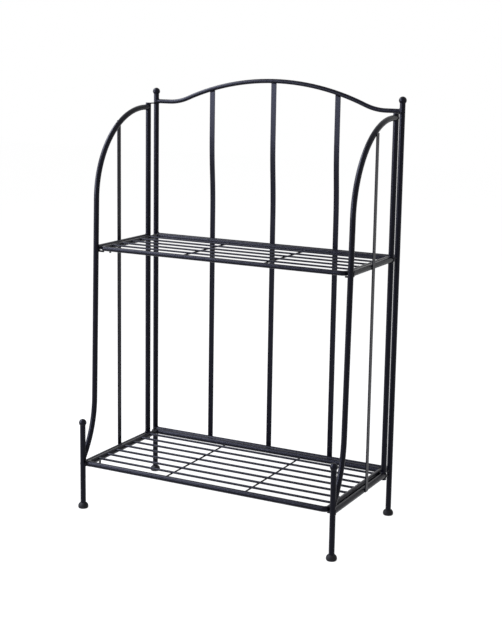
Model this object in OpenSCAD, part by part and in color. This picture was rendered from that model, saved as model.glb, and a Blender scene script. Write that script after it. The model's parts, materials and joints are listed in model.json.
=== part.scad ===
// Folding two-shelf etagere in black coated steel tube, wire and flat bar.
// X runs left to right, Y front to back, Z up. The origin is on the floor,
// midway between the two posts and midway between posts and front legs.

/* [Overall] */
// Distance between the axes of the two back posts
post_spacing = 598; // [520:2:720]
// Distance from the back posts forward to the front legs
leg_reach = 298.5; // [294:0.5:330]
// Height of the top end of the back posts
post_top_z = 892.6; // [886:0.2:930]
// Height of the top end of the front legs
leg_top_z = 187.3; // [170:0.1:230]

/* [Tube and bar stock] */
// Outer diameter of posts, legs, uprights, side rails and the lower shelf frame
tube_d = 12; // [11.8:0.1:12.6]
// Outer diameter of the swept rails, a little under the tubes that they are coped to
swept_d = 11.8; // [11:0.1:11.9]
// Wall of every tube
tube_wall = 1; // [0.8:0.1:1.4]
// Outer diameter of the arch rail
arch_d = 9.5; // [7:0.5:11]
// Outer diameter of the upper shelf frame and upper back rail
light_tube_d = 10; // [9:0.1:11]
// Width of the flat bar slats
slat_w = 12; // [8:0.5:16]
// Thickness of the flat bar slats
slat_t = 2; // [1.5:0.1:3]
// Diameter of the lower shelf's wires
lower_wire_d = 5; // [3:0.1:5.6]
// Diameter of the upper shelf's wires
upper_wire_d = 4; // [3:0.1:4.5]
// Diameter of the cross wires under the long wires
cross_wire_d = 3.5; // [2.5:0.1:4.5]

/* [Arch] */
// Rise of the arch from its ends to its crown
arch_rise = 53.3; // [40:0.1:70]
// Bend radius at each end of the arch
arch_foot_r = 121; // [80:1:160]
// Straight length at each end, from the post axis to the first bend
arch_flat = 36; // [24:1:60]
// Distance from the post tops down to the arch's ends
arch_drop = 16.4; // [10:0.1:17]

/* [Side panels] */
// Distance from a post forward to the panel's upright
hinge_reach = 34.2; // [30:0.1:38]
// Height of the swept rail where it meets the upright
panel_top_z = 864.3; // [840:0.1:865]
// Straight length of the swept rail between the upright and its shoulder
shoulder_run = 15.2; // [6:0.1:40]
// Forward lean of the swept rail's long straight, in degrees from upright
sweep_lean = 1.46; // [0.8:0.01:1.8]
// Radius of the swept rail's outward bend above the leg
flare_r = 220; // [190:1:230]
// Angle of that outward bend
flare_turn = 36.3; // [34:0.1:37]
// Height of the lower side rail
lower_side_rail_z = 100; // [98:0.1:101]
// Height of the upper side rail
upper_side_rail_z = 570; // [560:0.1:574]
// Distance from the lower side rail up to where the swept rail meets the leg
join_rise = 10.8; // [10.5:0.1:13]
// Length of the upright below the lower side rail's axis
upright_tail = 6.4; // [6.3:0.1:8]
// Distance from a post forward to the side slat
side_slat_reach = 144.2; // [110:0.1:170]

/* [Shelves] */
// Height of the lower shelf's frame
lower_shelf_z = 102.8; // [102.4:0.1:104]
// Height of the upper shelf's frame
upper_shelf_z = 569.2; // [560:0.1:570]
// Distance from the posts forward to the shelves' rear bars
rear_bar_reach = 15.5; // [14.5:0.1:17]
// Distance from the front legs back to the upper shelf's front bar
upper_front_inset = 58.5; // [54.5:0.5:74]
// Bend radius at the front corners of the shelf frames
shelf_corner_r = 9; // [8:1:40]
// Number of long wires in the lower shelf
lower_wires = 7; // [5:1:9]
// Number of long wires in the upper shelf
upper_wires = 5; // [3:1:7]
// Height of the long wires above the frame's axis
wire_lift = 2.7; // [2:0.1:3]
// Distance of the two cross wires from the middle
cross_wire_x = 95; // [60:1:140]

/* [Back slats] */
// Distance of the outer back slats from the middle one
back_slat_x = 152.5; // [110:0.5:180]
// Height where the back slats start to lean forward to the arch
jog_low_z = 640; // [600:5:680]
// Height where the back slats stand upright again under the arch
jog_high_z = 800; // [760:5:850]

/* [Hinges and pegs] */
// Diameter of the side panels' hinge pins
hinge_pin_d = 4; // [3:0.1:5.6]
// Length of a hinge pin inside its upright
hinge_pin_grip = 18; // [14:1:30]
// Height of a hinge pin's round head, which is as wide as the upright
hinge_head_h = 3.6; // [3.4:0.1:5]
// Diameter of the arm that holds a hinge pin's head to the post
hinge_arm_d = 3; // [2.4:0.1:3.4]
// Diameter of the shelves' pivot pins
shelf_pin_d = 4; // [3:0.1:4.4]
// Length of a pivot pin inside its rear bar
shelf_pin_grip = 16; // [13:1:24]
// Bend radius of the pivot pins, on their axis
pin_bend_r = 3.5; // [3.2:0.1:3.6]
// Radial running clearance of a pin in its bush
pin_fit = 0.05; // [0.02:0.01:0.1]
// Length of the bushes
bush_len = 12; // [8:1:13]
// Diameter of the locating pegs under the shelves
peg_d = 4.5; // [3:0.1:5]
// Length of a peg below its side bar
peg_len = 8.5; // [5:0.5:14]
// Distance from the upper shelf's front bar back to its pegs
upper_peg_inset = 31; // [28:1:46]
// Distance from the lower shelf's front bar back to its pegs
lower_peg_inset = 46.5; // [42.5:1:98.5]

/* [Feet and finials] */
// Diameter of the ball finials
ball_d = 16.5; // [14:0.5:17]
// Diameter of the foot caps
foot_d = 22.4; // [20:0.2:26]
// Height of the foot caps
foot_h = 13; // [12:0.1:18]
// Thickness of the foot caps under the tube
foot_floor = 3; // [2:0.5:5]

/* [Hidden] */
$fn = 64;
coat_colour = "#211f27";
rubber_colour = "#111013";
nylon_colour = "#2b2b2e";

// Play between pieces that move past each other
shelf_side_play = 1;
rest_play = 0.3;
head_play = 0.1;
// Play of a push-on cap or plug
plug_play = 0.05;
// Depth to which a flat bar or wire is let into the round bar that it is welded to
weld_bite = 0.5;
// Height and length of the faint ring that a bender's die leaves where each bend starts or ends
bend_mark = 0.02;
bend_mark_len = 0.2;
// Length by which a cutting solid runs past what it cuts
over = 1;
arc_fn = 360;

plug_len = 10;
foot_edge_r = 3;
foot_shoulder_r = 8.7;
rest_plate_t = 3;
rest_plate_h = 3;
// Reach of a rest plate past the axis of the bar that it carries, and its distance from the tube before it
rest_lip = 2;
rest_gap = 0.4;
slat_tail = 3;

tube_r = tube_d / 2;
swept_r = swept_d / 2;
light_r = light_tube_d / 2;
arch_r = arch_d / 2;
cross_wire_r = cross_wire_d / 2;
ball_r = ball_d / 2;
side_x = post_spacing / 2;
post_y = leg_reach / 2;
leg_y = post_y - leg_reach;
upright_y = post_y - hinge_reach;
rear_bar_y = post_y - rear_bar_reach;
upper_front_y = leg_y + upper_front_inset;
shelf_x = side_x - tube_r - shelf_side_play - tube_r;
shelf_end_x = shelf_x + tube_r;
upright_top_z = panel_top_z + tube_r;
upright_foot_z = lower_side_rail_z - upright_tail;
join_z = lower_side_rail_z + join_rise;

// Arch: two equal bends of opposite hand on each side, worked out from span and rise
arch_end_z = post_top_z - arch_drop;
arch_half_span = side_x - arch_flat;
arch_turn = 2 * atan(arch_rise / arch_half_span);
arch_crown_r = arch_half_span / sin(arch_turn) - arch_foot_r;
arch_crown_z = arch_end_z + arch_rise;
function arch_z(x) = arch_crown_z - arch_crown_r + sqrt(arch_crown_r ^ 2 - x ^ 2);
arch_steps = [
    [arch_flat, arch_foot_r, arch_turn],
    [0, arch_crown_r, -2 * arch_turn],
    [0, arch_foot_r, arch_turn],
    [arch_flat, 0, 0],
];

// Swept rail: the shoulder's radius and the leaning straight close it between upright and leg
shoulder_turn = 90 - sweep_lean;
flare_end = shoulder_turn - flare_turn;
flare_drop = flare_r * (cos(flare_end) - cos(shoulder_turn));
flare_forward = flare_r * (sin(shoulder_turn) - sin(flare_end));
sweep_drop = panel_top_z - join_z - flare_drop;
sweep_reach = leg_reach - hinge_reach - shoulder_run - flare_forward;
shoulder_r = (sweep_reach - sweep_drop * tan(sweep_lean))
    / (sin(shoulder_turn) - (1 - cos(shoulder_turn)) * tan(sweep_lean));
sweep_straight = (sweep_drop - shoulder_r * (1 - cos(shoulder_turn))) / cos(sweep_lean);
sweep_steps = [
    [shoulder_run, shoulder_r, shoulder_turn],
    [sweep_straight, flare_r, -flare_turn],
];
shoulder_y = upright_y - shoulder_run;
side_slat_y = post_y - side_slat_reach;
side_slat_top_z = panel_top_z - shoulder_r + sqrt(shoulder_r ^ 2 - (shoulder_y - side_slat_y) ^ 2);
sweep_top_z = panel_top_z - shoulder_r * (1 - cos(shoulder_turn));
sweep_top_y = shoulder_y - shoulder_r * sin(shoulder_turn);
function sweep_y(z) = sweep_top_y - (sweep_top_z - z) * tan(sweep_lean);

// Back slats: two equal shallow bends carry them from behind the rails to under the arch
slat_back_y = tube_r - weld_bite + slat_t / 2;
jog_turn = 2 * atan(slat_back_y / (jog_high_z - jog_low_z));
jog_r = (jog_high_z - jog_low_z) / 2 / sin(jog_turn);

// Cross sections of the stock. $swell grows them on every face, for the bend marks.
$swell = 0;
module rod_section(r) circle(r + $swell);
module tube_section(r) difference() {
    circle(r + $swell);
    circle(r - tube_wall - $swell);
}
module slat_section() square([slat_t + 2 * $swell, slat_w + 2 * $swell], center = true);

module die_mark() {
    $swell = bend_mark;
    translate([0, 0, -bend_mark_len / 2]) linear_extrude(bend_mark_len) children();
}

// One bend of a bar that starts at the origin along +Z and turns towards +X
module bend(r, turn) {
    translate([r, 0, 0]) rotate([90, 0, 180]) rotate_extrude(angle = turn, $fn = arc_fn)
        translate([r, 0]) children();
}

// A bar bent in one plane. Each step is [straight length, bend radius, turn towards +X].
module bent_bar(steps, first = 0) {
    if (first < len(steps)) {
        step = steps[first];
        straight = step[0];
        r = step[1];
        turn = step[2];
        hand = turn < 0 ? -1 : 1;
        if (straight > 0) linear_extrude(straight) children();
        if (first > 0) die_mark() children();
        translate([0, 0, straight]) {
            if (turn != 0 && straight > 0) die_mark() children();
            if (turn != 0) rotate([0, 0, turn < 0 ? 180 : 0]) bend(r, abs(turn)) children();
            translate([hand * r * (1 - cos(turn)), 0, r * sin(abs(turn))]) rotate([0, turn, 0])
                bent_bar(steps, first + 1) children();
        }
    }
}

// Solid round bars between two places, used as stock and as cutters for coped ends
module bar_x(x0, x1, y, z, r) translate([x0, y, z]) rotate([0, 90, 0]) cylinder(r = r, h = x1 - x0);
module bar_y(x, y0, y1, z, r) translate([x, y1, z]) rotate([90, 0, 0]) cylinder(r = r, h = y1 - y0);
module bar_z(x, y, z0, z1, r) translate([x, y, z0]) cylinder(r = r, h = z1 - z0);

module tube_x(x0, x1, y, z, r) difference() {
    bar_x(x0, x1, y, z, r);
    bar_x(x0 - over, x1 + over, y, z, r - tube_wall);
}
module tube_y(x, y0, y1, z, r) difference() {
    bar_y(x, y0, y1, z, r);
    bar_y(x, y0 - over, y1 + over, z, r - tube_wall);
}
module tube_z(x, y, z0, z1, r) difference() {
    bar_z(x, y, z0, z1, r);
    bar_z(x, y, z0 - over, z1 + over, r - tube_wall);
}

// Draws right-hand pieces as they are, and left-hand ones mirrored
module on_side(side) {
    if (side > 0) children();
    else mirror([1, 0, 0]) children();
}

// Outlines of the main tubes, for coping what meets them
module post_stock(side) bar_z(side * side_x, post_y, 0, post_top_z, tube_r);
module upright_stock() bar_z(side_x, upright_y, upright_foot_z, upright_top_z, tube_r);
module leg_stock() bar_z(side_x, leg_y, 0, leg_top_z, tube_r);
module swept_path() translate([side_x, upright_y, panel_top_z]) rotate([0, 90, -90])
    bent_bar(sweep_steps) children();
module arch_path() translate([-side_x, post_y, arch_end_z]) rotate([180, -90, 0])
    bent_bar(arch_steps) children();

// Posts and legs end in a ball on a short plug, and stand in a foot cap
module standing_tube(x, y, top_z) color(coat_colour) tube_z(x, y, foot_floor, top_z, tube_r);

module finial(x, y, tube_top_z) color(coat_colour) translate([x, y, tube_top_z]) {
    seat = sqrt(ball_r ^ 2 - tube_r ^ 2);
    difference() {
        translate([0, 0, seat]) sphere(ball_r);
        translate([0, 0, -ball_r]) cylinder(r = ball_r, h = ball_r);
    }
    translate([0, 0, -plug_len]) cylinder(r = tube_r - tube_wall - plug_play, h = plug_len + over);
}

module foot_cap(x, y) color(rubber_colour) translate([x, y, 0]) rotate_extrude() difference() {
    intersection() {
        square([foot_d / 2, foot_h]);
        union() {
            square([foot_d / 2 - foot_edge_r, foot_h - foot_shoulder_r]);
            translate([0, foot_edge_r]) square([foot_d / 2, foot_h - foot_shoulder_r - foot_edge_r]);
            translate([foot_d / 2 - foot_edge_r, foot_edge_r]) circle(foot_edge_r);
            translate([foot_d / 2 - foot_shoulder_r, foot_h - foot_shoulder_r]) circle(foot_shoulder_r);
            square([foot_d / 2 - foot_shoulder_r, foot_h]);
        }
    }
    translate([0, foot_floor]) square([tube_r + plug_play, foot_h]);
}

// Back frame
module arch_rail() color(coat_colour) difference() {
    arch_path() tube_section(arch_r);
    for (side = [-1, 1]) post_stock(side);
}

module back_rail(z, r) color(coat_colour) difference() {
    tube_x(-side_x, side_x, post_y + tube_r - r, z, r);
    for (side = [-1, 1]) post_stock(side);
}

module back_slat(x) color(coat_colour) difference() {
    foot_z = lower_shelf_z - slat_tail;
    translate([x, post_y + slat_back_y, foot_z]) rotate([0, 0, -90]) bent_bar([
        [jog_low_z - foot_z, jog_r, jog_turn],
        [0, jog_r, -jog_turn],
        [arch_z(x) - jog_high_z, 0, 0],
    ]) slat_section();
    arch_path() rod_section(arch_r);
    bar_x(x - slat_w, x + slat_w, post_y, lower_shelf_z, tube_r);
    bar_x(x - slat_w, x + slat_w, post_y + tube_r - light_r, upper_shelf_z, light_r);
}

// A pin in the upright's end, whose round head is held by an arm from the post
module hinge_pin(side, at_top) color(coat_colour) on_side(side) {
    hand = at_top ? 1 : -1;
    end_z = at_top ? upright_top_z : upright_foot_z;
    head_z = end_z + hand * (head_play + hinge_head_h / 2);
    tip_z = end_z - hand * hinge_pin_grip;
    bar_z(side_x, upright_y, head_z - hinge_head_h / 2, head_z + hinge_head_h / 2, tube_r);
    bar_z(side_x, upright_y, min(tip_z, head_z), max(tip_z, head_z), hinge_pin_d / 2);
    difference() {
        bar_y(side_x, upright_y + tube_r / 2, post_y, head_z, hinge_arm_d / 2);
        post_stock(1);
    }
}

// A short arm from each post turns inward into the end of the shelf's rear bar
module shelf_pivot_pins(z, rail_r) color(coat_colour) for (side = [-1, 1]) on_side(side) difference() {
    translate([side_x, post_y, z]) rotate([90, 0, 0]) bent_bar([
        [rear_bar_reach - pin_bend_r, pin_bend_r, -90],
        [side_x - pin_bend_r - shelf_end_x + shelf_pin_grip, 0, 0],
    ]) rod_section(shelf_pin_d / 2);
    post_stock(1);
    bar_x(0, side_x, post_y + tube_r - rail_r, z, rail_r);
}

// Side panels
module upright(side) color(coat_colour) on_side(side)
    tube_z(side_x, upright_y, upright_foot_z, upright_top_z, tube_r);

module swept_rail(side) color(coat_colour) on_side(side) difference() {
    swept_path() tube_section(swept_r);
    upright_stock();
    leg_stock();
}

module lower_side_rail(side) color(coat_colour) on_side(side) difference() {
    tube_y(side_x, leg_y, upright_y, lower_side_rail_z, tube_r);
    upright_stock();
    leg_stock();
}

module upper_side_rail(side) color(coat_colour) on_side(side) difference() {
    tube_y(side_x, shoulder_y - shoulder_r, upright_y, upper_side_rail_z, tube_r);
    upright_stock();
    swept_path() rod_section(swept_r);
}

module side_slat(side) color(coat_colour) on_side(side) difference() {
    foot_z = lower_side_rail_z - slat_tail;
    translate([side_x + tube_r - weld_bite, side_slat_y - slat_w / 2, foot_z])
        cube([slat_t, slat_w, side_slat_top_z - foot_z]);
    swept_path() rod_section(swept_r);
    bar_y(side_x, leg_y, upright_y, lower_side_rail_z, tube_r);
    bar_y(side_x, leg_y, upright_y, upper_side_rail_z, tube_r);
}

module bush(r, pin_d) difference() {
    cylinder(r = r, h = bush_len);
    translate([0, 0, -over]) cylinder(r = pin_d / 2 + pin_fit, h = bush_len + 2 * over);
}

module upright_bushes(side) color(nylon_colour) on_side(side)
    for (z = [upright_foot_z, upright_top_z - bush_len])
        translate([side_x, upright_y, z]) bush(tube_r - tube_wall, hinge_pin_d);

// A plate under each shelf's side bar, welded under the side rail. Its top edge passes the bar with
// play and rises to the rail where the rail stands higher.
module shelf_rest(rail_z, shelf_z, shelf_r, plate_y) difference() {
    clear_r = shelf_r + rest_play;
    span = side_x - shelf_x;
    rail_foot = rail_z - tube_r + weld_bite - shelf_z;
    slope = max(0, atan2(rail_foot, span) + asin(clear_r / norm([span, rail_foot])));
    end_z = slope > 0 ? shelf_z + rail_foot : shelf_z - clear_r;
    tip_z = end_z - tan(slope) * (span + rest_lip);
    translate([0, plate_y + rest_plate_t, 0]) rotate([90, 0, 0]) linear_extrude(rest_plate_t) polygon([
        [shelf_x - rest_lip, tip_z - rest_plate_h],
        [side_x, tip_z - rest_plate_h],
        [side_x, end_z],
        [shelf_x - rest_lip, tip_z],
    ]);
    bar_y(side_x, leg_y, upright_y, rail_z, tube_r);
}

module shelf_rests(side) color(coat_colour) on_side(side) {
    shelf_rest(lower_side_rail_z, lower_shelf_z, tube_r, leg_y + tube_r + rest_gap);
    shelf_rest(upper_side_rail_z, upper_shelf_z, light_r, sweep_y(upper_side_rail_z) + swept_r + rest_gap);
}

// Shelves: a rim bent round the front and sides, closed by the rear bar
module rim_path(front_y, z) translate([-shelf_x, rear_bar_y, z]) rotate([90, 0, 0]) bent_bar([
    [rear_bar_y - front_y - shelf_corner_r, shelf_corner_r, 90],
    [2 * (shelf_x - shelf_corner_r), shelf_corner_r, 90],
    [rear_bar_y - front_y - shelf_corner_r, 0, 0],
]) children();

module shelf_rim(front_y, z, r) color(coat_colour) difference() {
    rim_path(front_y, z) tube_section(r);
    bar_x(-side_x, side_x, rear_bar_y, z, r);
}

module rear_bar(z, r) color(coat_colour) tube_x(-shelf_end_x, shelf_end_x, rear_bar_y, z, r);

module long_wires(front_y, z, wire_r, count) {
    pitch = (rear_bar_y - front_y) / (count + 1);
    for (i = [1:count]) bar_x(-shelf_x, shelf_x, front_y + i * pitch, z + wire_lift, wire_r);
}

module shelf_wires(front_y, z, r, wire_r, count) color(coat_colour) difference() {
    long_wires(front_y, z, wire_r, count);
    for (side = [-1, 1]) bar_y(side * shelf_x, front_y, rear_bar_y, z, r);
}

module shelf_cross_wires(front_y, z, r, wire_r, count) color(coat_colour) difference() {
    wire_z = z + wire_lift - wire_r - cross_wire_r + weld_bite;
    for (side = [-1, 1]) bar_y(side * cross_wire_x, front_y, rear_bar_y, wire_z, cross_wire_r);
    long_wires(front_y, z, wire_r, count);
    for (y = [front_y, rear_bar_y]) bar_x(-shelf_x, shelf_x, y, z, r);
}

module shelf_pegs(peg_y, z, r) color(coat_colour) for (side = [-1, 1]) on_side(side) difference() {
    bar_z(shelf_x, peg_y, z - r - peg_len, z, peg_d / 2);
    bar_y(shelf_x, leg_y, rear_bar_y, z, r);
}

module shelf_bushes(z, r) color(nylon_colour) for (side = [-1, 1]) on_side(side)
    translate([shelf_end_x - bush_len, rear_bar_y, z]) rotate([0, 90, 0]) bush(r - tube_wall, shelf_pin_d);

standing_tube(-side_x, post_y, post_top_z);  // post_left
standing_tube(side_x, post_y, post_top_z);  // post_right
finial(-side_x, post_y, post_top_z);  // finial_back_left
finial(side_x, post_y, post_top_z);  // finial_back_right
foot_cap(-side_x, post_y);  // foot_back_left
foot_cap(side_x, post_y);  // foot_back_right
arch_rail();
back_rail(upper_shelf_z, light_r);  // upper_back_rail
back_rail(lower_shelf_z, tube_r);  // lower_back_rail
back_slat(-back_slat_x);  // back_slat_left
back_slat(0);  // back_slat_centre
back_slat(back_slat_x);  // back_slat_right
hinge_pin(-1, true);  // hinge_pin_top_left
hinge_pin(1, true);  // hinge_pin_top_right
hinge_pin(-1, false);  // hinge_pin_bottom_left
hinge_pin(1, false);  // hinge_pin_bottom_right
shelf_pivot_pins(upper_shelf_z, light_r);  // upper_shelf_pivot_pins
shelf_pivot_pins(lower_shelf_z, tube_r);  // lower_shelf_pivot_pins

upright(-1);  // upright_left
upright(1);  // upright_right
swept_rail(-1);  // swept_rail_left
swept_rail(1);  // swept_rail_right
standing_tube(-side_x, leg_y, leg_top_z);  // leg_left
standing_tube(side_x, leg_y, leg_top_z);  // leg_right
upper_side_rail(-1);  // upper_side_rail_left
upper_side_rail(1);  // upper_side_rail_right
lower_side_rail(-1);  // lower_side_rail_left
lower_side_rail(1);  // lower_side_rail_right
side_slat(-1);  // side_slat_left
side_slat(1);  // side_slat_right
finial(-side_x, leg_y, leg_top_z);  // finial_front_left
finial(side_x, leg_y, leg_top_z);  // finial_front_right
foot_cap(-side_x, leg_y);  // foot_front_left
foot_cap(side_x, leg_y);  // foot_front_right
upright_bushes(-1);  // upright_bushes_left
upright_bushes(1);  // upright_bushes_right
shelf_rests(-1);  // shelf_rests_left
shelf_rests(1);  // shelf_rests_right

shelf_rim(upper_front_y, upper_shelf_z, light_r);  // upper_shelf_rim
rear_bar(upper_shelf_z, light_r);  // upper_shelf_rear_bar
shelf_wires(upper_front_y, upper_shelf_z, light_r, upper_wire_d / 2, upper_wires);  // upper_shelf_wires
shelf_cross_wires(upper_front_y, upper_shelf_z, light_r, upper_wire_d / 2, upper_wires);  // upper_shelf_cross_wires
shelf_pegs(upper_front_y + upper_peg_inset, upper_shelf_z, light_r);  // upper_shelf_pegs
shelf_bushes(upper_shelf_z, light_r);  // upper_shelf_bushes

shelf_rim(leg_y, lower_shelf_z, tube_r);  // lower_shelf_rim
rear_bar(lower_shelf_z, tube_r);  // lower_shelf_rear_bar
shelf_wires(leg_y, lower_shelf_z, tube_r, lower_wire_d / 2, lower_wires);  // lower_shelf_wires
shelf_cross_wires(leg_y, lower_shelf_z, tube_r, lower_wire_d / 2, lower_wires);  // lower_shelf_cross_wires
shelf_pegs(leg_y + lower_peg_inset, lower_shelf_z, tube_r);  // lower_shelf_pegs
shelf_bushes(lower_shelf_z, tube_r);  // lower_shelf_bushes
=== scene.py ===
"""Dresses a folding two-shelf etagere: its coat, foot caps, bushes, weld beads and a plain studio."""

import json
import logging
import math
from dataclasses import dataclass, field
from enum import Enum
from typing import Any, Iterable, Iterator

import bpy
from mathutils import Matrix, Vector

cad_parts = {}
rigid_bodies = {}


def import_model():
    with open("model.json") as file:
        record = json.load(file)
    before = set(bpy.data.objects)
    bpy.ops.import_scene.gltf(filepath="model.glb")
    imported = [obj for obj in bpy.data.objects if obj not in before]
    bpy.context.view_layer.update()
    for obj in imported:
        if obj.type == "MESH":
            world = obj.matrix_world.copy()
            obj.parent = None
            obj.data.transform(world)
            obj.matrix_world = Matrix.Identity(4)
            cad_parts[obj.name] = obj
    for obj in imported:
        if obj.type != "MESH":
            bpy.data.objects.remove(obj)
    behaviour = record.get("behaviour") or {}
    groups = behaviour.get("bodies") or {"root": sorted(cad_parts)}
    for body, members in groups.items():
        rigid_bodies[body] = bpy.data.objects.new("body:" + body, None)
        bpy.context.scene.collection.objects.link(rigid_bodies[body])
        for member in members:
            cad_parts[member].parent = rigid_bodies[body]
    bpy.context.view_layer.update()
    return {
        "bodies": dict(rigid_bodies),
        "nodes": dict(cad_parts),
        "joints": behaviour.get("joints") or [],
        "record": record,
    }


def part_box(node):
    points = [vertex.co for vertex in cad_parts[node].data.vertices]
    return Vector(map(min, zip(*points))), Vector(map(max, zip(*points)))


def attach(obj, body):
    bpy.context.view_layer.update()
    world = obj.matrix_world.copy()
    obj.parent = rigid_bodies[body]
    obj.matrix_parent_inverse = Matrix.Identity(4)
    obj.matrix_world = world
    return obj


LOG = logging.getLogger("etagere")
MM = 0.001
WHITE = (1.0, 1.0, 1.0, 1.0)
Colour = tuple[float, float, float]
Stops = tuple[tuple[float, float], ...]
Settings = dict[str, Any]
Inputs = dict[str | int, Any]


class Side(Enum):
    """A side of the etagere, as seen from the front."""

    LEFT = -1
    RIGHT = 1

    @property
    def word(self) -> str:
        """The side's word in the names of its pieces."""
        return self.name.lower()


class Slot(Enum):
    """The record's material slots."""

    COAT = "black_coat"
    RUBBER = "foot_rubber"
    NYLON = "bush_nylon"


class Signal:
    """A shader number that takes part in Python sums."""

    def __init__(self, graph: "ShaderGraph", socket: bpy.types.NodeSocket) -> None:
        """Keeps the socket.

        Args:
            graph: The graph that new nodes go to.
            socket: The output socket that carries the number.
        """
        self.graph = graph
        self.socket = socket

    def _math(self, operation: str, first: "Signal | float", second: "Signal | float") -> "Signal":
        """Adds one Math node.

        Args:
            operation: The node's operation.
            first: Its first value.
            second: Its second value.

        Returns:
            The node's result.
        """
        return self.graph.signal("ShaderNodeMath", {"operation": operation}, {0: first, 1: second})

    def __add__(self, other: "Signal | float") -> "Signal":
        """The sum."""
        return self._math("ADD", self, other)

    def __radd__(self, other: float) -> "Signal":
        """The sum, with the number first."""
        return self._math("ADD", other, self)

    def __sub__(self, other: "Signal | float") -> "Signal":
        """The difference."""
        return self._math("SUBTRACT", self, other)

    def __rsub__(self, other: float) -> "Signal":
        """The difference, with the number first."""
        return self._math("SUBTRACT", other, self)

    def __mul__(self, other: "Signal | float") -> "Signal":
        """The product."""
        return self._math("MULTIPLY", self, other)

    def __rmul__(self, other: float) -> "Signal":
        """The product, with the number first."""
        return self._math("MULTIPLY", other, self)

    def at_most(self, limit: float) -> "Signal":
        """The smaller of this and a limit."""
        return self._math("MINIMUM", self, limit)


class ShaderGraph:
    """The node tree of one material or world."""

    def __init__(self, tree: bpy.types.NodeTree) -> None:
        """Empties the tree.

        Args:
            tree: The node tree to build in.
        """
        self.tree = tree
        self.tree.nodes.clear()

    def node(
        self, kind: str, settings: Settings | None = None, inputs: Inputs | None = None
    ) -> bpy.types.Node:
        """Adds a node, sets it up and joins what it is given.

        Args:
            kind: The node's type.
            settings: Its own settings, such as an operation. A ramp's stops are given as "stops".
            inputs: The values, signals or output sockets of its inputs, by name or place.

        Returns:
            The node.
        """
        made = self.tree.nodes.new(kind)
        for name, value in (settings or {}).items():
            if name == "stops":
                self._set_stops(made, value)
            else:
                setattr(made, name, value)
        for key, value in (inputs or {}).items():
            if isinstance(value, Signal):
                self.tree.links.new(value.socket, made.inputs[key])
            elif isinstance(value, bpy.types.NodeSocket):
                self.tree.links.new(value, made.inputs[key])
            else:
                made.inputs[key].default_value = value
        return made

    @staticmethod
    def _set_stops(ramp: bpy.types.Node, stops: Stops) -> None:
        """Gives a ramp its stops.

        Args:
            ramp: The Color Ramp node.
            stops: Pairs of place and grey level, the first and the last included.
        """
        elements = ramp.color_ramp.elements
        for element, (place, grey) in zip(elements, (stops[0], stops[-1])):
            element.position = place
            element.color = (grey, grey, grey, 1.0)
        for place, grey in stops[1:-1]:
            elements.new(place).color = (grey, grey, grey, 1.0)

    def signal(
        self,
        kind: str,
        settings: Settings | None = None,
        inputs: Inputs | None = None,
        output: str | int = 0,
    ) -> Signal:
        """Adds a node and returns one of its outputs as a number.

        Args:
            kind: The node's type.
            settings: Its own settings.
            inputs: The values or links of its inputs.
            output: The output's name or place.

        Returns:
            The output.
        """
        return Signal(self, self.node(kind, settings, inputs).outputs[output])

    def mix_colours(self, factor: Signal, low: Colour, high: Colour) -> bpy.types.NodeSocket:
        """Mixes two colours.

        Args:
            factor: How much of the second colour.
            low: The first colour.
            high: The second colour.

        Returns:
            The mixed colour's socket.
        """
        colour_a, colour_b, result = 6, 7, 2
        inputs = {"Factor": factor, colour_a: (*low, 1.0), colour_b: (*high, 1.0)}
        return self.node("ShaderNodeMix", {"data_type": "RGBA"}, inputs).outputs[result]

    def noise(self, scale: float, detail: float, roughness: float = 0.5) -> Signal:
        """Noise over the piece's own coordinates, in metres.

        Args:
            scale: Noise cells per metre.
            detail: Octaves.
            roughness: Weight of the finer octaves.

        Returns:
            The noise, about 0.5 on average.
        """
        place = self.node("ShaderNodeTexCoord").outputs["Object"]
        return self.signal(
            "ShaderNodeTexNoise", {"noise_dimensions": "3D"},
            {"Vector": place, "Scale": scale, "Detail": detail, "Roughness": roughness}, "Fac",
        )


@dataclass(frozen=True)
class PowderCoat:
    """Satin black powder coat: a cool black with fine orange peel and a little handling haze."""

    name: str = "satin_black_coat"
    deep: Colour = (0.0016, 0.0014, 0.0030)
    worn: Colour = (0.0042, 0.0039, 0.0070)
    sheen_tint: Colour = (0.78, 0.80, 1.0)
    roughness: float = 0.30
    roughness_spread: float = 0.08
    specular: float = 0.13
    cloud_scale: float = 28.0
    speck_scale: float = 1400.0
    peel_scale: float = 520.0
    peel_height: float = 0.000012
    peel_strength: float = 0.2
    speck_height: float = 0.25
    haze_stops: Stops = ((0.38, 0.0), (0.55, 0.35), (0.72, 1.0))
    haze_share: float = 0.7
    grain_stops: Stops = ((0.42, 0.0), (0.70, 1.0))
    grain_share: float = 0.3
    grain_spread: float = 0.05

    def build(self) -> bpy.types.Material:
        """Makes the material."""
        material = bpy.data.materials.new(self.name)
        material.use_nodes = True
        graph = ShaderGraph(material.node_tree)
        cloud = graph.noise(self.cloud_scale, 4.0, 0.6)
        speck = graph.noise(self.speck_scale, 2.0)
        peel = graph.noise(self.peel_scale, 3.0, 0.55)
        haze = graph.signal("ShaderNodeValToRGB", {"stops": self.haze_stops}, {"Fac": cloud})
        grain = graph.signal("ShaderNodeValToRGB", {"stops": self.grain_stops}, {"Fac": speck})
        tone = (haze * self.haze_share + grain * self.grain_share).at_most(1.0)
        roughness = (
            self.roughness + self.roughness_spread * (cloud - 0.5) + self.grain_spread * (grain - 0.5)
        )
        bump = graph.node(
            "ShaderNodeBump", None,
            {
                "Strength": self.peel_strength,
                "Distance": self.peel_height,
                "Height": peel + self.speck_height * speck,
            },
        )
        shader = graph.node(
            "ShaderNodeBsdfPrincipled", None,
            {
                "Base Color": graph.mix_colours(tone, self.deep, self.worn),
                "Roughness": roughness,
                "Normal": bump.outputs["Normal"],
                "Specular IOR Level": self.specular,
                "Specular Tint": (*self.sheen_tint, 1.0),
            },
        )
        graph.node("ShaderNodeOutputMaterial", None, {"Surface": shader.outputs["BSDF"]})
        return material


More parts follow.
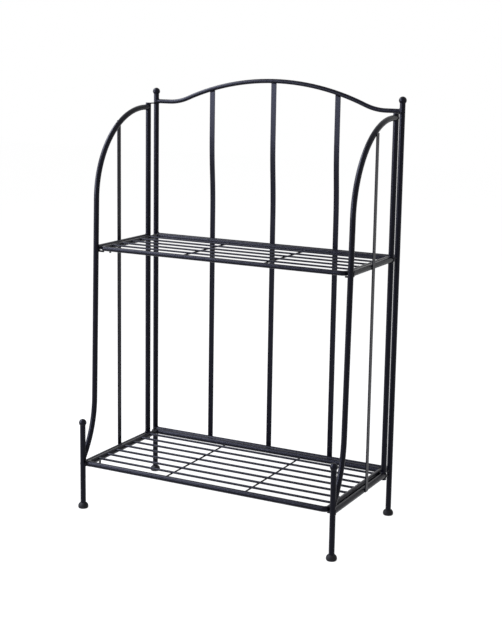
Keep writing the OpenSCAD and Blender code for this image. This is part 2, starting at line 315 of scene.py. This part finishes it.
@dataclass(frozen=True)
class MouldedPlastic:
    """Matt moulded rubber or nylon, with a fine spark-eroded grain and scuffs near the floor."""

    name: str
    deep: Colour
    scuffed: Colour
    roughness: float
    specular: float = 0.15
    grain_scale: float = 1900.0
    grain_height: float = 0.00005
    grain_strength: float = 0.5
    grain_share: float = 0.25
    cloud_scale: float = 160.0
    cloud_spread: float = 0.12
    scuff_top: float = 4.0 * MM
    scuff_share: float = 1.2
    scuff_spread: float = 0.1

    def build(self) -> bpy.types.Material:
        """Makes the material."""
        material = bpy.data.materials.new(self.name)
        material.use_nodes = True
        graph = ShaderGraph(material.node_tree)
        grain = graph.noise(self.grain_scale, 2.0)
        cloud = graph.noise(self.cloud_scale, 3.0, 0.6)
        place = graph.node("ShaderNodeTexCoord").outputs["Object"]
        height = graph.signal("ShaderNodeSeparateXYZ", None, {"Vector": place}, "Z")
        low = graph.signal(
            "ShaderNodeMapRange", {"clamp": True},
            {"Value": height, "From Min": self.scuff_top, "From Max": 0.0, "To Min": 0.0, "To Max": 1.0},
        )
        scuff = (low * cloud * self.scuff_share + self.grain_share * grain).at_most(1.0)
        roughness = self.roughness + self.cloud_spread * (cloud - 0.5) + self.scuff_spread * scuff
        bump = graph.node(
            "ShaderNodeBump", None,
            {"Strength": self.grain_strength, "Distance": self.grain_height, "Height": grain},
        )
        shader = graph.node(
            "ShaderNodeBsdfPrincipled", None,
            {
                "Base Color": graph.mix_colours(scuff, self.deep, self.scuffed),
                "Roughness": roughness,
                "Normal": bump.outputs["Normal"],
                "Specular IOR Level": self.specular,
            },
        )
        graph.node("ShaderNodeOutputMaterial", None, {"Surface": shader.outputs["BSDF"]})
        return material


@dataclass(frozen=True)
class Finishes:
    """The etagere's materials, by slot."""

    by_slot: dict[Slot, bpy.types.Material]

    @classmethod
    def make(cls) -> "Finishes":
        """Builds every finish."""
        rubber = MouldedPlastic(
            "foot_cap_rubber",
            deep=(0.0048, 0.0046, 0.0060),
            scuffed=(0.022, 0.021, 0.023),
            roughness=0.56,
        )
        nylon = MouldedPlastic(
            "bush_black_nylon",
            deep=(0.016, 0.016, 0.018),
            scuffed=(0.030, 0.030, 0.032),
            roughness=0.48,
        )
        recipes = {Slot.COAT: PowderCoat(), Slot.RUBBER: rubber, Slot.NYLON: nylon}
        return cls({slot: recipe.build() for slot, recipe in recipes.items()})

    def dress(self, piece: bpy.types.Object, slot: Slot) -> None:
        """Gives a piece one finish all over.

        Args:
            piece: The mesh object.
            slot: Which finish.
        """
        material = self.by_slot[slot]
        if piece.material_slots:
            for held in piece.material_slots:
                held.material = material
        else:
            piece.data.materials.append(material)

    def dress_node(self, nodes: dict[str, bpy.types.Object], name: str) -> None:
        """Gives a carried-over solid the finish that its name calls for.

        Args:
            nodes: The frame's nodes by name.
            name: The node's name.
        """
        slot = Slot.COAT
        if name.startswith("foot"):
            slot = Slot.RUBBER
        elif "bushes" in name:
            slot = Slot.NYLON
        self.dress(nodes[name], slot)


def select_only(piece: bpy.types.Object) -> None:
    """Deselects everything and makes one piece selected and active.

    Args:
        piece: The object to work on.
    """
    bpy.ops.object.select_all(action="DESELECT")
    piece.select_set(True)
    bpy.context.view_layer.objects.active = piece


def place_mesh(piece: bpy.types.Object, placing: Matrix) -> None:
    """Moves a piece and puts its place into its mesh.

    Args:
        piece: The object, at the origin.
        placing: Where it goes.
    """
    select_only(piece)
    piece.matrix_world = placing
    bpy.ops.object.transform_apply(location=True, rotation=True, scale=True)


def own_copy(piece: bpy.types.Object) -> bpy.types.Object:
    """Copies a piece together with its mesh.

    Args:
        piece: The object to copy.

    Returns:
        The copy, linked to the scene.
    """
    copy = piece.copy()
    copy.data = piece.data.copy()
    bpy.context.scene.collection.objects.link(copy)
    return copy


@dataclass(frozen=True)
class RoundJoint:
    """A round bar welded against the side of another round bar."""

    meeting: Vector
    host_axis: Vector
    branch_axis: Vector
    host_r: float
    branch_r: float

    def placing(self) -> Matrix:
        """Where the bead goes: its -Y along the branch, its Z along the host."""
        along = self.host_axis.normalized()
        out = self.branch_axis.normalized()
        square = (out - along * out.dot(along)).normalized()
        slant = out.dot(along) / out.dot(square)
        origin = self.meeting + square * self.host_r + along * (slant * self.host_r)
        across = (-square).cross(along)
        stretch = math.sqrt(1.0 + slant * slant)
        frame = Matrix((across, -square, along)).transposed().to_4x4()
        return Matrix.Translation(origin) @ frame @ Matrix.Diagonal((1.0, 1.0, stretch, 1.0))


@dataclass(frozen=True)
class FlatSeam:
    """A straight bead in the groove between a flat bar and what it is welded to."""

    middle: Vector
    along: Vector
    length: float


@dataclass
class Welder:
    """Lays weld beads, modelled once for each pair of bars and copied to every joint."""

    finishes: Finishes
    ring_bead: float = 1.15 * MM
    wire_bead: float = 0.65 * MM
    thin_branch: float = 3.0 * MM
    ring_segments: int = 44
    bead_segments: int = 10
    bead_spread: float = 0.25
    ripple_scale: float = 2.2 * MM
    ripple_share: float = 0.45
    seam_bead: float = 1.0 * MM
    seam_inset: float = 1.5 * MM
    end_round: float = 0.55
    off_face: float = 0.6
    off_bar: float = 0.5
    patterns: dict[tuple[float, float], bpy.types.Object] = field(default_factory=dict)

    def _ring_pattern(self, host_r: float, branch_r: float) -> bpy.types.Object:
        """Models a bead that runs round a branch on a host's surface.

        Args:
            host_r: The host bar's radius.
            branch_r: The branch bar's radius.

        Returns:
            The bead at the origin, its host's axis along Z and its branch along -Y.
        """
        bead_r = self.wire_bead if branch_r < self.thin_branch else self.ring_bead
        ring_r = branch_r + self.bead_spread * bead_r
        bpy.ops.object.select_all(action="DESELECT")
        bpy.ops.mesh.primitive_torus_add(
            major_radius=ring_r,
            minor_radius=bead_r,
            major_segments=self.ring_segments,
            minor_segments=self.bead_segments,
            rotation=(math.pi / 2, 0.0, 0.0),
        )
        ring = bpy.context.object
        bpy.ops.object.transform_apply(location=True, rotation=True, scale=True)
        wrap = host_r * math.asin(min(1.0, branch_r / host_r)) / branch_r
        bpy.ops.object.mode_set(mode="EDIT")
        bpy.ops.mesh.select_all(action="SELECT")
        bpy.ops.transform.resize(value=(wrap, 1.0, 1.0))
        bpy.ops.object.mode_set(mode="OBJECT")
        ripple = bpy.data.textures.new("weld_ripple", "CLOUDS")
        ripple.noise_scale = self.ripple_scale
        rough = ring.modifiers.new("ripple", "DISPLACE")
        rough.texture = ripple
        rough.texture_coords = "LOCAL"
        rough.mid_level = 0.5
        rough.strength = self.ripple_share * bead_r
        bend = ring.modifiers.new("saddle", "SIMPLE_DEFORM")
        bend.deform_method = "BEND"
        bend.deform_axis = "Z"
        bend.angle = ring.dimensions.x / host_r
        for name in ("ripple", "saddle"):
            bpy.ops.object.modifier_apply(modifier=name)
        bpy.ops.object.shade_smooth()
        ring.name = "bead_pattern"
        return ring

    def ring(self, joint: RoundJoint) -> bpy.types.Object:
        """Lays a bead round one joint.

        Args:
            joint: The two bars.

        Returns:
            The bead.
        """
        key = (round(joint.host_r, 6), round(joint.branch_r, 6))
        if key not in self.patterns:
            self.patterns[key] = self._ring_pattern(joint.host_r, joint.branch_r)
        bead = own_copy(self.patterns[key])
        place_mesh(bead, joint.placing())
        return bead

    def groove(self, face_distance: float, bar_r: float) -> tuple[float, float]:
        """Finds a bead's place in the groove between a round bar and a flat face.

        Args:
            face_distance: The flat face's distance from the bar's axis.
            bar_r: The round bar's radius.

        Returns:
            The bead's distances from the bar's axis, square to the face and along it.
        """
        reach = face_distance - self.off_face * self.seam_bead
        return reach, math.sqrt((bar_r + self.off_bar * self.seam_bead) ** 2 - reach * reach)

    def seam(self, weld: FlatSeam) -> bpy.types.Object:
        """Lays a short straight bead.

        Args:
            weld: Its place and length.

        Returns:
            The bead.
        """
        bpy.ops.object.select_all(action="DESELECT")
        bpy.ops.mesh.primitive_cylinder_add(
            vertices=self.bead_segments, radius=self.seam_bead, depth=weld.length
        )
        bead = bpy.context.object
        bpy.ops.object.mode_set(mode="EDIT")
        bpy.ops.mesh.select_all(action="SELECT")
        bpy.ops.mesh.bevel(offset=self.end_round * self.seam_bead, segments=2, affect="EDGES")
        bpy.ops.object.mode_set(mode="OBJECT")
        bpy.ops.object.shade_smooth()
        turn = Vector((0.0, 0.0, 1.0)).rotation_difference(weld.along.normalized()).to_matrix().to_4x4()
        place_mesh(bead, Matrix.Translation(weld.middle) @ turn)
        return bead

    def join(self, beads: Iterable[bpy.types.Object], name: str, body: str) -> bpy.types.Object:
        """Joins beads into one piece that rides on a body.

        Args:
            beads: The beads.
            name: The piece's name.
            body: The body that carries it.

        Returns:
            The piece.
        """
        made = list(beads)
        select_only(made[0])
        for bead in made:
            bead.select_set(True)
        bpy.ops.object.join()
        piece = bpy.context.object
        piece.name = name
        piece.data.name = name
        self.finishes.dress(piece, Slot.COAT)
        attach(piece, body)
        LOG.info("%s: %d beads on %s", name, len(made), body)
        return piece

    def put_away(self) -> None:
        """Removes the patterns."""
        for pattern in self.patterns.values():
            bpy.data.objects.remove(pattern)
        self.patterns.clear()


def middle_of(node: str) -> Vector:
    """The middle of a node's box."""
    low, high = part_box(node)
    return (low + high) / 2


def radius_of(node: str, axis: int) -> float:
    """Half of a node's size along one axis."""
    low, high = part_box(node)
    return (high[axis] - low[axis]) / 2


UP = Vector((0.0, 0.0, 1.0))
BACK = Vector((0.0, 1.0, 0.0))
RIGHT = Vector((1.0, 0.0, 0.0))


@dataclass
class BackFrame:
    """The two posts with all that is welded between and to them."""

    nodes: dict[str, bpy.types.Object]
    welder: Welder
    body: str = "back_frame"
    slat_names: tuple[str, ...] = ("back_slat_left", "back_slat_centre", "back_slat_right")
    arm_r: float = 1.5 * MM
    pin_head_h: float = 3.6 * MM
    pivot_r: float = 2.0 * MM
    slat_thickness: float = 2.0 * MM
    arch_flat: float = 36.0 * MM
    arch_seam_off: float = 1.5 * MM
    arch_seam_inset: float = 1.0 * MM
    arch_seam_drop: float = 0.98
    arch_slice: float = 6.0 * MM

    def __post_init__(self) -> None:
        """Reads the frame's places from its nodes."""
        self.post_r = radius_of("post_left", 0)
        self.posts = {side: middle_of(f"post_{side.word}") for side in Side}
        self.arch_r = radius_of("arch_rail", 1)
        low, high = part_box("arch_rail")
        self.arch_end_z = low.z + self.arch_r
        self.arch_crown_z = high.z - self.arch_r

    def _on_post(self, side: Side, z: float) -> Vector:
        """A point on a post's axis."""
        return Vector((self.posts[side].x, self.posts[side].y, z))

    def _post_joints(self, side: Side) -> Iterator[RoundJoint]:
        """The round bars welded to one post.

        Args:
            side: Which post.

        Yields:
            Each joint.
        """
        inward = -side.value * RIGHT
        yield RoundJoint(self._on_post(side, self.arch_end_z), UP, inward, self.post_r, self.arch_r)
        for rail in ("upper_back_rail", "lower_back_rail"):
            rail_r = radius_of(rail, 2)
            meeting = self._on_post(side, middle_of(rail).z)
            meeting.y = middle_of(rail).y
            yield RoundJoint(meeting, UP, inward, self.post_r, rail_r)
        top_arm_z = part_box(f"hinge_pin_top_{side.word}")[1].z - self.pin_head_h / 2
        bottom_arm_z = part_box(f"hinge_pin_bottom_{side.word}")[0].z + self.pin_head_h / 2
        for arm_z in (top_arm_z, bottom_arm_z):
            yield RoundJoint(self._on_post(side, arm_z), UP, -BACK, self.post_r, self.arm_r)
        for shelf in ("upper", "lower"):
            pivot_z = middle_of(f"{shelf}_shelf_pivot_pins").z
            yield RoundJoint(self._on_post(side, pivot_z), UP, -BACK, self.post_r, self.pivot_r)

    def _slat_seams(self, slat: str) -> Iterator[FlatSeam]:
        """The beads that hold one back slat to both rails.

        Args:
            slat: The slat's node.

        Yields:
            Each bead.
        """
        low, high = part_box(slat)
        slat_face_y = high.y - self.slat_thickness
        for rail in ("upper_back_rail", "lower_back_rail"):
            axis = middle_of(rail)
            reach, rise = self.welder.groove(slat_face_y - axis.y, radius_of(rail, 2))
            for sign in (-1, 1):
                if axis.z + sign * rise > low.z:
                    spot = Vector(((low.x + high.x) / 2, axis.y + reach, axis.z + sign * rise))
                    yield FlatSeam(spot, RIGHT, high.x - low.x - self.welder.seam_inset)

    def _arch_seams(self, slat: str) -> Iterator[FlatSeam]:
        """The beads that hold one back slat's top to the arch, front and back.

        Args:
            slat: The slat's node.

        Yields:
            Each bead.
        """
        low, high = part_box(slat)
        x = (low.x + high.x) / 2
        rail = self.nodes["arch_rail"].data
        above = [v.co.z for v in rail.vertices if abs(v.co.x - x) < self.arch_slice]
        axis_z = (max(above) + min(above)) / 2
        seam_z = axis_z - self.arch_r * self.arch_seam_drop
        half_span = abs(self.posts[Side.RIGHT].x) - self.arch_flat
        slope = -x / half_span * 2 * (self.arch_crown_z - self.arch_end_z) / half_span
        along = Vector((1.0, 0.0, slope)).normalized()
        for sign in (-1, 1):
            spot = Vector((x, self.posts[Side.RIGHT].y + sign * self.arch_seam_off, seam_z))
            yield FlatSeam(spot, along, high.x - low.x - self.arch_seam_inset)

    def build(self) -> None:
        """Welds the back frame."""
        beads = [self.welder.ring(joint) for side in Side for joint in self._post_joints(side)]
        for slat in self.slat_names:
            beads += [self.welder.seam(weld) for weld in self._slat_seams(slat)]
            beads += [self.welder.seam(weld) for weld in self._arch_seams(slat)]
        self.welder.join(beads, "back_frame_welds", self.body)


@dataclass
class SidePanel:
    """One folding side: upright, swept rail, leg, two rails and a slat."""

    side: Side
    welder: Welder
    flare_end_deg: float = 52.2
    join_rise: float = 10.8 * MM
    sweep_lean_deg: float = 1.46
    sweep_bury: float = 0.4 * MM

    def __post_init__(self) -> None:
        """Reads the panel's places from its nodes."""
        word = self.side.word
        self.upright = middle_of(f"upright_{word}")
        self.leg = middle_of(f"leg_{word}")
        self.tube_r = radius_of(f"upright_{word}", 0)
        self.swept_r = radius_of(f"swept_rail_{word}", 0)
        self.swept_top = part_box(f"swept_rail_{word}")[1].z - self.swept_r
        self.rails = {
            which: middle_of(f"{which}_side_rail_{word}") for which in ("upper", "lower")
        }
        self.slat_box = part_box(f"side_slat_{word}")

    def _joints(self) -> Iterator[RoundJoint]:
        """The round bars welded to upright, leg and swept rail."""
        tube_r, swept_r = self.tube_r, self.swept_r
        upright_top = Vector((self.upright.x, self.upright.y, self.swept_top))
        yield RoundJoint(upright_top, UP, -BACK, tube_r, swept_r)
        tilt = math.radians(self.flare_end_deg)
        leg_join = Vector((self.leg.x, self.leg.y, self.rails["lower"].z + self.join_rise))
        back_up = Vector((0.0, math.cos(tilt), math.sin(tilt)))
        yield RoundJoint(leg_join, UP, back_up, tube_r, swept_r)
        for rail in self.rails.values():
            on_upright = Vector((self.upright.x, self.upright.y, rail.z))
            yield RoundJoint(on_upright, UP, -BACK, tube_r, tube_r)
        on_leg = Vector((self.leg.x, self.leg.y, self.rails["lower"].z))
        yield RoundJoint(on_leg, UP, BACK, tube_r, tube_r)
        front_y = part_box(f"upper_side_rail_{self.side.word}")[0].y - self.sweep_bury
        on_sweep = Vector((self.leg.x, front_y, self.rails["upper"].z))
        lean = math.radians(self.sweep_lean_deg)
        sweep = Vector((0.0, math.sin(lean), math.cos(lean)))
        yield RoundJoint(on_sweep, sweep, BACK, swept_r, tube_r)

    def _seams(self) -> Iterator[FlatSeam]:
        """The beads that hold the slat to both side rails."""
        low, high = self.slat_box
        face = min(abs(low.x), abs(high.x))
        reach, rise = self.welder.groove(face - abs(self.leg.x), self.tube_r)
        x = self.side.value * (abs(self.leg.x) + reach)
        for rail in self.rails.values():
            for sign in (-1, 1):
                if rail.z + sign * rise > low.z:
                    spot = Vector((x, (low.y + high.y) / 2, rail.z + sign * rise))
                    yield FlatSeam(spot, BACK, high.y - low.y - self.welder.seam_inset)

    def build(self) -> None:
        """Welds the panel."""
        beads = [self.welder.ring(joint) for joint in self._joints()]
        beads += [self.welder.seam(weld) for weld in self._seams()]
        self.welder.join(beads, f"{self.side.word}_side_welds", f"{self.side.word}_side")


@dataclass
class WireShelf:
    """One shelf: a bent rim, a rear bar, long wires and two cross wires."""

    which: str
    wire_count: int
    welder: Welder
    let_in: float = 0.94

    def __post_init__(self) -> None:
        """Reads the shelf's places from its nodes."""
        rim_low, rim_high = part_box(f"{self.which}_shelf_rim")
        self.bar_r = (rim_high.z - rim_low.z) / 2
        self.bar_z = (rim_high.z + rim_low.z) / 2
        self.side_x = rim_high.x - self.bar_r
        self.front_y = rim_low.y + self.bar_r
        self.rear_y = middle_of(f"{self.which}_shelf_rear_bar").y
        wire_low, wire_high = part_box(f"{self.which}_shelf_wires")
        self.wire_r = (wire_high.z - wire_low.z) / 2
        self.wire_z = (wire_high.z + wire_low.z) / 2
        cross_low, cross_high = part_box(f"{self.which}_shelf_cross_wires")
        self.cross_r = (cross_high.z - cross_low.z) / 2
        self.cross_x = cross_high.x - self.cross_r
        self.cross_z = cross_low.z + self.cross_r
        peg_low, peg_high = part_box(f"{self.which}_shelf_pegs")
        self.peg_y = (peg_low.y + peg_high.y) / 2
        self.peg_r = (peg_high.y - peg_low.y) / 2

    def _joints(self) -> Iterator[RoundJoint]:
        """Every bar and wire end on the shelf's frame."""
        pitch = (self.rear_y - self.front_y) / (self.wire_count + 1)
        wire_host_r = self.bar_r * self.let_in
        for side in Side:
            inward = -side.value * RIGHT
            for index in range(1, self.wire_count + 1):
                wire_y = self.front_y + index * pitch
                on_bar = Vector((side.value * self.side_x, wire_y, self.wire_z))
                yield RoundJoint(on_bar, BACK, inward, wire_host_r, self.wire_r)
            corner = Vector((side.value * self.side_x, self.rear_y, self.bar_z))
            yield RoundJoint(corner, RIGHT, -BACK, self.bar_r, self.bar_r)
            for y, way in ((self.front_y, BACK), (self.rear_y, -BACK)):
                on_bar = Vector((side.value * self.cross_x, y, self.cross_z))
                yield RoundJoint(on_bar, RIGHT, way, wire_host_r, self.cross_r)
            over_peg = Vector((side.value * self.side_x, self.peg_y, self.bar_z))
            yield RoundJoint(over_peg, BACK, -UP, self.bar_r, self.peg_r)

    def build(self) -> None:
        """Welds the shelf."""
        beads = [self.welder.ring(joint) for joint in self._joints()]
        self.welder.join(beads, f"{self.which}_shelf_welds", f"{self.which}_shelf")


@dataclass(frozen=True)
class Softbox:
    """One soft studio lamp."""

    name: str
    place: tuple[float, float, float]
    aim: tuple[float, float, float]
    size: tuple[float, float]
    power: float
    colour: Colour = (0.84, 0.88, 1.0)

    def build(self) -> None:
        """Hangs the lamp."""
        data = bpy.data.lights.new(self.name, "AREA")
        data.color = self.colour
        data.shape = "RECTANGLE"
        data.size, data.size_y = self.size
        data.energy = self.power
        lamp = bpy.data.objects.new(self.name, data)
        bpy.context.scene.collection.objects.link(lamp)
        lamp.location = self.place
        lamp.rotation_euler = (Vector(self.aim) - Vector(self.place)).to_track_quat("-Z", "Y").to_euler()


@dataclass(frozen=True)
class Studio:
    """White floor and surroundings, soft lamps and the camera."""

    lamps: tuple[Softbox, ...] = (
        Softbox("upper_left_softbox", (-1.60, -0.45, 2.26), (-0.1, 0.1, 0.8), (2.3, 0.95), 98.0),
        Softbox("left_softbox", (-1.80, -0.90, 1.16), (-0.3, -0.02, 0.80), (0.8, 0.8), 34.0),
        Softbox("front_left_softbox", (-1.75, -2.45, 0.97), (0.0, 0.1, 0.85), (1.8, 0.55), 64.0),
        Softbox("right_softbox", (2.9, 0.8, 1.7), (0.0, 0.0, 0.5), (0.6, 1.2), 6.0),
    )
    ambient: float = 0.25
    floor_half: float = 8.0
    floor_white: float = 0.9
    floor_show: float = 0.86
    floor_glow: float = 1.12
    camera_place: tuple[float, float, float] = (1.309922, -2.437304, 1.015251)
    camera_pan_deg: float = 27.709
    camera_tilt_deg: float = 79.707
    camera_roll_deg: float = 0.920
    focal_px: float = 1324.265
    axis_above_middle_px: float = 40.0
    picture_h_px: int = 642
    film: float = 36.0
    near: float = 0.05
    far: float = 60.0

    @staticmethod
    def _seen(graph: ShaderGraph) -> Signal:
        """One for rays that show the surroundings: from the camera, off gloss or through glass."""
        rays = graph.node("ShaderNodeLightPath").outputs
        camera, glossy, transmission = (
            Signal(graph, rays[f"Is {kind} Ray"]) for kind in ("Camera", "Glossy", "Transmission")
        )
        return (camera + glossy + transmission).at_most(1.0)

    def surroundings(self) -> None:
        """Makes the world: white where it is seen, plain soft light elsewhere."""
        world = bpy.data.worlds.new("studio_surroundings")
        world.use_nodes = True
        graph = ShaderGraph(world.node_tree)
        strength = self.ambient + (1.0 - self.ambient) * self._seen(graph)
        sky = graph.node("ShaderNodeBackground", None, {"Color": WHITE, "Strength": strength})
        graph.node("ShaderNodeOutputWorld", None, {"Surface": sky.outputs["Background"]})
        bpy.context.scene.world = world

    def floor(self) -> None:
        """Lays the floor: white, with the etagere's own soft shadow."""
        bpy.ops.object.select_all(action="DESELECT")
        bpy.ops.mesh.primitive_plane_add(size=2 * self.floor_half)
        floor = bpy.context.object
        floor.name = "studio_floor"
        material = bpy.data.materials.new("studio_floor_white")
        material.use_nodes = True
        graph = ShaderGraph(material.node_tree)
        paint = (self.floor_white, self.floor_white, self.floor_white, 1.0)
        matt = graph.node("ShaderNodeBsdfDiffuse", None, {"Color": paint})
        shown = graph.node("ShaderNodeEmission", None, {"Color": WHITE, "Strength": self.floor_glow})
        blend = graph.node(
            "ShaderNodeMixShader", None,
            {
                0: self._seen(graph) * self.floor_show,
                1: matt.outputs["BSDF"],
                2: shown.outputs["Emission"],
            },
        )
        graph.node("ShaderNodeOutputMaterial", None, {"Surface": blend.outputs["Shader"]})
        floor.data.materials.append(material)

    def camera(self) -> None:
        """Sets the camera at the viewing angle of the photograph."""
        data = bpy.data.cameras.new("studio_camera")
        data.sensor_fit = "AUTO"
        data.sensor_width = self.film
        data.lens = self.focal_px * self.film / self.picture_h_px
        data.shift_y = -self.axis_above_middle_px / self.picture_h_px
        data.clip_start = self.near
        data.clip_end = self.far
        camera = bpy.data.objects.new("studio_camera", data)
        bpy.context.scene.collection.objects.link(camera)
        turn = (
            Matrix.Rotation(math.radians(self.camera_pan_deg), 4, "Z")
            @ Matrix.Rotation(math.radians(self.camera_tilt_deg), 4, "X")
            @ Matrix.Rotation(math.radians(self.camera_roll_deg), 4, "Z")
        )
        camera.matrix_world = Matrix.Translation(self.camera_place) @ turn
        bpy.context.scene.camera = camera

    def build(self) -> None:
        """Sets up the whole studio."""
        bpy.context.scene.view_settings.view_transform = "Standard"
        self.surroundings()
        self.floor()
        for lamp in self.lamps:
            lamp.build()
        self.camera()


def main() -> None:
    """Loads the frame, dresses it, welds it and sets the studio."""
    logging.basicConfig(level=logging.INFO, format="%(name)s: %(message)s")
    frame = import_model()
    nodes = frame["nodes"]
    studio = Studio()
    studio.build()
    finishes = Finishes.make()
    for name in sorted(nodes):
        finishes.dress_node(nodes, name)
    welder = Welder(finishes)
    BackFrame(nodes, welder).build()
    for side in Side:
        SidePanel(side, welder).build()
    WireShelf("upper", wire_count=5, welder=welder).build()
    WireShelf("lower", wire_count=7, welder=welder).build()
    welder.put_away()


if __name__ == "__main__":
    main()
